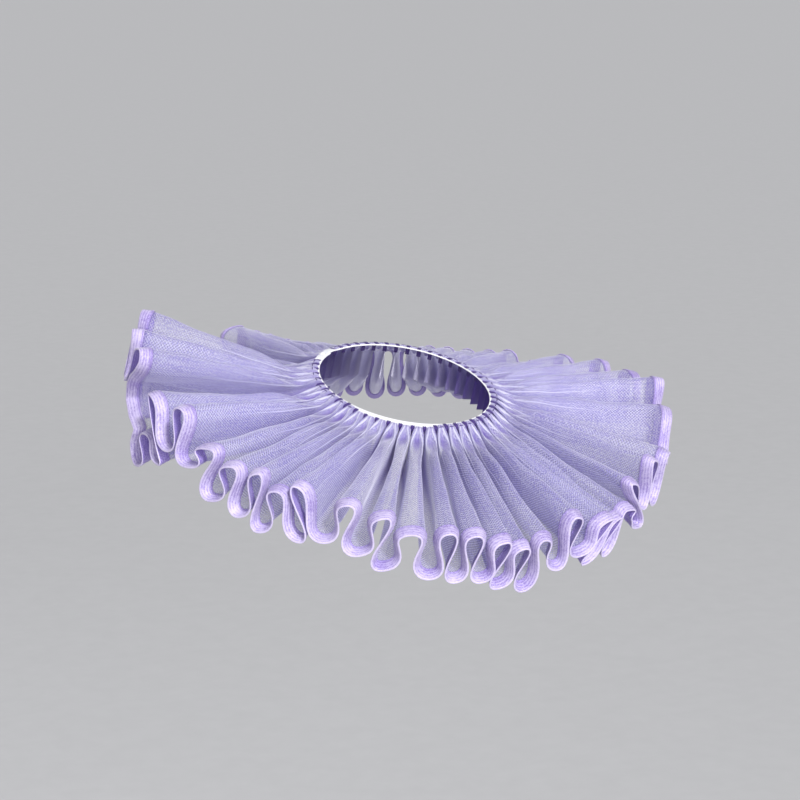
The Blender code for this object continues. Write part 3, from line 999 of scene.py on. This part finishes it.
def edge_stitch_paths():
    """Running stitches along both faces of the ribbon, near its free edges."""
    turns = strip_turns(STITCH_COLUMNS_PER_FOLD)
    normal = rim_direction(turns, RIM.under)
    seam = ribbon_point(turns, RIBBON_SEAM_PLACE, 0.0)
    along = length_along(seam)
    count = int(along[-1] / STITCH_PITCH)
    paths = []
    for face in (1, -1):
        shift = 0.0 if face > 0 else STITCH_PITCH / 2
        for stitch in range(count):
            start = shift + stitch * STITCH_PITCH + STITCH_START
            end = min(start + STITCH_LENGTH, along[-1] - STITCH_LAST_GAP)
            places = np.linspace(start, end, len(STITCH_ARCH))
            line = np.stack([np.interp(places, along, seam[:, axis]) for axis in range(3)], -1)
            square = np.stack([np.interp(places, along, normal[:, axis]) for axis in range(3)], -1)
            paths.append(line + unit(square) * STITCH_ARCH[:, None] * face)
    return paths


TACK_RADIUS = 0.42 * MM
TACK_REACH = 0.06
TACK_POINTS = 7
TACK_LEAST_OVERLAP = 0.6 * OVERLAP


def header_tack_paths():
    """A hand tack across the top of each pleat that reaches well over the tape, where its pocket begins."""
    paths = []
    for pleat in range(PLEAT_COUNT):
        if tape_overlap(pleat_azimuth(np.array(float(pleat)))) < TACK_LEAST_OVERLAP:
            continue
        turns = pleat + TACK_REACH * np.linspace(-1 if pleat else 0, 1, TACK_POINTS)
        paths.append(net_point(turns, np.full(TACK_POINTS, POCKET_START)))
    return paths


WHIP_RADIUS = 0.36 * MM
WHIP_COUNT = 5
WHIP_SPREAD = 0.62 * MM
WHIP_UNEVENNESS = 0.35 * MM
# Where a whip stitch comes up past the tape's outer edge, as (how far past it, lift above the tape's middle).
WHIP_RISE = ((0.9 * MM, -7.0 * MM), (0.75 * MM, -0.4 * MM), (0.1 * MM, 0.78 * MM))
WHIP_MIDDLE_LIFT = 0.95 * MM
WHIP_END_LIFT = 0.82 * MM


def whip_stitch_paths():
    """Whip stitches over the tape between the pleats, as far in as the pleats' knuckles reach."""
    paths = []
    for pleat in range(PLEAT_COUNT - 1):
        middle = float(pleat_azimuth(np.array(pleat + 0.5)))
        reach = float(tape_overlap(np.array(middle)))
        for stitch in range(WHIP_COUNT):
            azimuth = middle + (stitch - (WHIP_COUNT - 1) / 2) * WHIP_SPREAD / (NECK_RADIUS + TAPE_WIDTH)
            uneven = WHIP_UNEVENNESS * math.sin(2.3 * stitch + 1.7 * pleat)
            places = WHIP_RISE + ((-reach * 0.5, WHIP_MIDDLE_LIFT), (uneven - reach, WHIP_END_LIFT))
            paths.append([tape_point(np.array(azimuth), TAPE_WIDTH + past, lift) for past, lift in places])
    return paths


# The stud's turned profile, as (radius, height) in millimetres, from the middle of its base to its top's.
STUD_PROFILE = ((0.0, 0.0), (2.75, 0.0), (2.8, 0.12), (2.8, 0.42), (2.68, 0.55), (2.2, 0.6), (2.0, 0.52),
                (1.75, 0.5), (1.6, 0.62), (1.52, 1.1), (1.38, 1.36), (1.05, 1.48), (0.6, 1.5), (0.0, 1.5))
STUD_SIDES = 48


def add_stud(material):
    """The stud's cap: a turned disc with a raised rim and a round boss, sewn to the top of the lap."""
    out = neck_direction(OPENING_AZIMUTH)
    across = tape_slope(OPENING_AZIMUTH)
    up = out * math.sin(TAPE_DROOP) + NECK_UP * math.cos(TAPE_DROOP)
    along = np.cross(up, across)
    lap_top = tape_point(OPENING_AZIMUTH, TAPE_WIDTH / 2, TAPE_WALL + SEAM_GAP)
    base = lap_top + up * (TAPE_WALL / 2 + SEAM_GAP)
    angles = np.arange(STUD_SIDES + 1) * 2 * math.pi / STUD_SIDES
    circle = across * np.cos(angles)[:, None] + along * np.sin(angles)[:, None]
    rows = [base + circle * radius * MM + up * height * MM for radius, height in STUD_PROFILE]
    faces = grid_faces(len(STUD_PROFILE), STUD_SIDES + 1)
    cap = add_object("stud_cap", np.array(rows).reshape(-1, 3), faces, material)
    weld_and_face_out(cap)
    return cap


def weld_and_face_out(thing):
    """Join the points that a turned surface repeats, and face it outwards."""
    work = bmesh.new()
    work.from_mesh(thing.data)
    bmesh.ops.remove_doubles(work, verts=work.verts[:], dist=1e-6)
    bmesh.ops.recalc_face_normals(work, faces=work.faces[:])
    work.to_mesh(thing.data)
    work.free()


# -------- the stage, lights and camera

FLOOR_HEIGHT = -0.95
FLOOR_REACH = 300.0
FLOOR_PALE, FLOOR_DEEP = rgba(0.56, 0.56, 0.57), rgba(0.52, 0.52, 0.53)
FLOOR_GRAIN = 30.0
FLOOR_ROUGHNESS = 0.9
WORLD_COLOUR = rgba(0.95, 0.96, 1.0)
WORLD_STRENGTH = 0.33
Sun = namedtuple("Sun", "name place strength softness")
SUNS = (
    Sun("key", (-0.4, -1.75, 1.3), 2.6, math.radians(9)),
    Sun("front", (-0.7, -1.9, 0.35), 1.7, math.radians(30)),
)
SUN_TARGET = (0.0, 0.0, 0.0)
Lamp = namedtuple("Lamp", "name place size power")
LAMPS = (
    Lamp("fill", (-1.9, -0.6, 0.6), 1.0, 3.0),
    Lamp("back", (0.4, 2.0, 1.5), 1.0, 8.0),
)
LAMP_TARGET = (0.0, 0.0, -0.03)

# The camera's angle, distance and lens, and how far it shifts the collar in the frame.
CAMERA_AZIMUTH = math.radians(-36)
CAMERA_ELEVATION = math.radians(10)
CAMERA_DISTANCE = 1.90
CAMERA_LENS = 109.44
CAMERA_SENSOR = 36.0
CAMERA_SHIFT = (-0.006, -0.02075)
CAMERA_CLIP = (0.05, 400.0)
NET_LAYERS_SEEN_THROUGH = 40


def stage_material():
    """Plain matt paper with a faint grain."""
    material, n = new_material("stage_paper")
    colour = n.mix_colour(n.object_noise(FLOOR_GRAIN), FLOOR_DEEP, FLOOR_PALE)
    n.output(n.principled(colour, FLOOR_ROUGHNESS))
    return material


def add_stage():
    corners = ((-1, -1), (1, -1), (1, 1), (-1, 1))
    points = np.array([(x * FLOOR_REACH, y * FLOOR_REACH, FLOOR_HEIGHT) for x, y in corners])
    floor = add_object("floor", points, np.array([(0, 1, 2, 3)]), stage_material())


def aim(thing, target):
    direction = Vector(target) - thing.location
    thing.rotation_mode = "QUATERNION"
    thing.rotation_quaternion = direction.to_track_quat("-Z", "Y")


def place_light(light, place, target):
    thing = bpy.data.objects.new(light.name, light)
    thing.location = place
    bpy.context.scene.collection.objects.link(thing)
    aim(thing, target)


def add_lights():
    """Two soft suns from the front and two round lamps, at the side and behind."""
    for sun in SUNS:
        light = bpy.data.lights.new(sun.name, "SUN")
        light.energy = sun.strength
        light.angle = sun.softness
        place_light(light, sun.place, SUN_TARGET)
    for lamp in LAMPS:
        light = bpy.data.lights.new(lamp.name, "AREA")
        light.shape = "DISK"
        light.size = lamp.size
        light.energy = lamp.power
        place_light(light, lamp.place, LAMP_TARGET)


def add_world():
    world = bpy.data.worlds.new("studio")
    bpy.context.scene.world = world
    world.use_nodes = True
    background = world.node_tree.nodes["Background"]
    background.inputs["Color"].default_value = WORLD_COLOUR
    background.inputs["Strength"].default_value = WORLD_STRENGTH


def add_camera():
    lens = bpy.data.cameras.new("camera")
    lens.lens = CAMERA_LENS
    lens.sensor_width = CAMERA_SENSOR
    lens.shift_x, lens.shift_y = CAMERA_SHIFT
    lens.clip_start, lens.clip_end = CAMERA_CLIP
    camera = bpy.data.objects.new("camera", lens)
    back = Vector((math.sin(CAMERA_AZIMUTH) * math.cos(CAMERA_ELEVATION),
                   -math.cos(CAMERA_AZIMUTH) * math.cos(CAMERA_ELEVATION), math.sin(CAMERA_ELEVATION)))
    camera.location = back * CAMERA_DISTANCE
    camera.rotation_mode = "QUATERNION"
    camera.rotation_quaternion = (-back).to_track_quat("-Z", "Y")
    bpy.context.scene.collection.objects.link(camera)
    bpy.context.scene.camera = camera


# -------- putting it together

add_camera()
add_stage()
add_world()
add_lights()
bpy.context.scene.view_settings.view_transform = "Standard"
bpy.context.scene.cycles.transparent_max_bounces = NET_LAYERS_SEEN_THROUGH

net = add_net(net_material())
ribbon, ribbon_length = add_ribbon(woven_material(RIBBON_CLOTH))
tape, tape_length = add_tape(woven_material(TAPE_CLOTH))
edge_thread = thread_material("lilac_thread", EDGE_THREAD_PALE, EDGE_THREAD_DEEP)
tack_thread = thread_material("violet_thread", HEADER_THREAD_PALE, HEADER_THREAD_DEEP)
edge_stitches = add_threads("edge_stitches", edge_stitch_paths(), STITCH_RADIUS, edge_thread)
tacks = add_threads("header_tacks", header_tack_paths(), TACK_RADIUS, tack_thread)
whips = add_threads("header_whip_stitches", whip_stitch_paths(), WHIP_RADIUS, tack_thread)
stud = add_stud(stud_material())

for piece in (net, ribbon, tape, edge_stitches, tacks, whips, stud):
    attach(piece, BODY)
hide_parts("net_ruffle")
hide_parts("edge_ribbon")
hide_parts("neck_tape")
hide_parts("press_stud")
